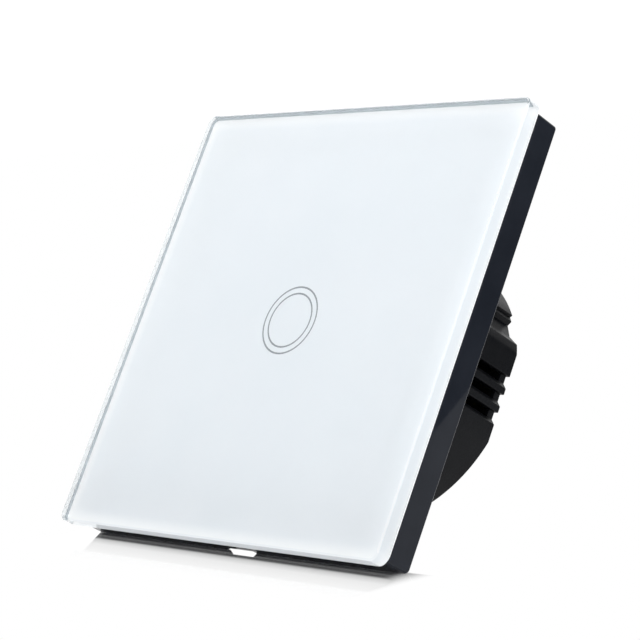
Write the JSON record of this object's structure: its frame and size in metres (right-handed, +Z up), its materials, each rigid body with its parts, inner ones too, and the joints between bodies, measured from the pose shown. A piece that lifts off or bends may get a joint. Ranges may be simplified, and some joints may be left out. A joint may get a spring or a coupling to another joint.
{
  "type": "touch light switch",
  "caption": "Flush wall switch with a square white glass touch panel on a black frame, over a round black module with vents and rear clamp terminals.",
  "frame": {"origin": "centre of the wall plane, midway between the wall screws on the back of the mounting plate", "axes": "+X to the right as seen from the room, +Y into the wall, +Z up"},
  "size_m": [0.08, 0.032, 0.08],
  "materials": {
    "glass": "polished clear float glass with ground edges",
    "white_print": "cool white print",
    "ring_ink": "grey ink",
    "tape": "foam tape",
    "frame_black": "satin black moulding",
    "circuit_board": "green solder mask",
    "spring_steel": "plated spring steel",
    "milky_guide": "milky light guide",
    "lamp": "lamp with a pale lens",
    "chip_black": "moulded chip",
    "black_nylon": "matt nylon",
    "pin_brass": "plain brass",
    "zinc_steel": "zinc plated",
    "screw_steel": "zinc plated",
    "housing_black": "fine textured black moulding",
    "block_grey": "dark grey moulding",
    "relay_case": "dark blue case",
    "ferrite": "dull ferrite",
    "winding_tape": "yellow winding tape",
    "capacitor_sleeve": "shrunk sleeve",
    "film_capacitor_case": "potted case",
    "fuse_ceramic": "ceramic tube"
  },
  "bodies": {
    "base": {"mounting_plate": "zinc_steel", "front_cover": "housing_black", "pin_socket": "black_nylon", "power_board": "circuit_board", "power_chip": "chip_black", "relay": "relay_case", "transformer_core": "ferrite", "transformer_coil": "winding_tape", "capacitor": "capacitor_sleeve", "film_capacitor": "film_capacitor_case", "fuse": "fuse_ceramic", "terminal_block": "block_grey", "busbars": "pin_brass", "rear_housing": "housing_black", "housing_screws": "screw_steel"},
    "panel": {"glass_panel": "glass", "white_film": "white_print", "ring_mark": "ring_ink", "glass_tape": "tape", "panel_frame": "frame_black", "touch_board": "circuit_board", "touch_spring": "spring_steel", "light_guide": "milky_guide", "indicator_led": "lamp", "touch_chip": "chip_black", "pin_strip": "black_nylon", "header_pins": "pin_brass"},
    "screw_1": {"terminal_screw_1": "screw_steel"},
    "cage_1": {"terminal_cage_1": "zinc_steel"},
    "screw_2": {"terminal_screw_2": "screw_steel"},
    "cage_2": {"terminal_cage_2": "zinc_steel"},
    "screw_3": {"terminal_screw_3": "screw_steel"},
    "cage_3": {"terminal_cage_3": "zinc_steel"}
  },
  "joints": [
    {"name": "panel_pull", "type": "slide", "parent": "base", "child": "panel", "axis": [0, -1, 0], "range_m": [0, 0.03]},
    {"name": "screw_1_turn", "type": "hinge", "parent": "base", "child": "screw_1", "pos_m": [-0.0085, 0, -0.0142], "axis": [0, -1, 0], "range_deg": [0, 2162]},
    {"name": "cage_1_rise", "type": "slide", "parent": "base", "child": "cage_1", "axis": [0, 1, 0], "range_m": [0, 0.003]},
    {"name": "screw_2_turn", "type": "hinge", "parent": "base", "child": "screw_2", "pos_m": [0, 0, -0.0142], "axis": [0, -1, 0], "range_deg": [0, 2162]},
    {"name": "cage_2_rise", "type": "slide", "parent": "base", "child": "cage_2", "axis": [0, 1, 0], "range_m": [0, 0.003]},
    {"name": "screw_3_turn", "type": "hinge", "parent": "base", "child": "screw_3", "pos_m": [0.0085, 0, -0.0142], "axis": [0, -1, 0], "range_deg": [0, 2162]},
    {"name": "cage_3_rise", "type": "slide", "parent": "base", "child": "cage_3", "axis": [0, 1, 0], "range_m": [0, 0.003]}
  ],
  "couplings": [
    {"joint": "screw_1_turn", "follows": "cage_1_rise", "rad_per_m": 12566},
    {"joint": "screw_2_turn", "follows": "cage_2_rise", "rad_per_m": 12566},
    {"joint": "screw_3_turn", "follows": "cage_3_rise", "rad_per_m": 12566}
  ]
}
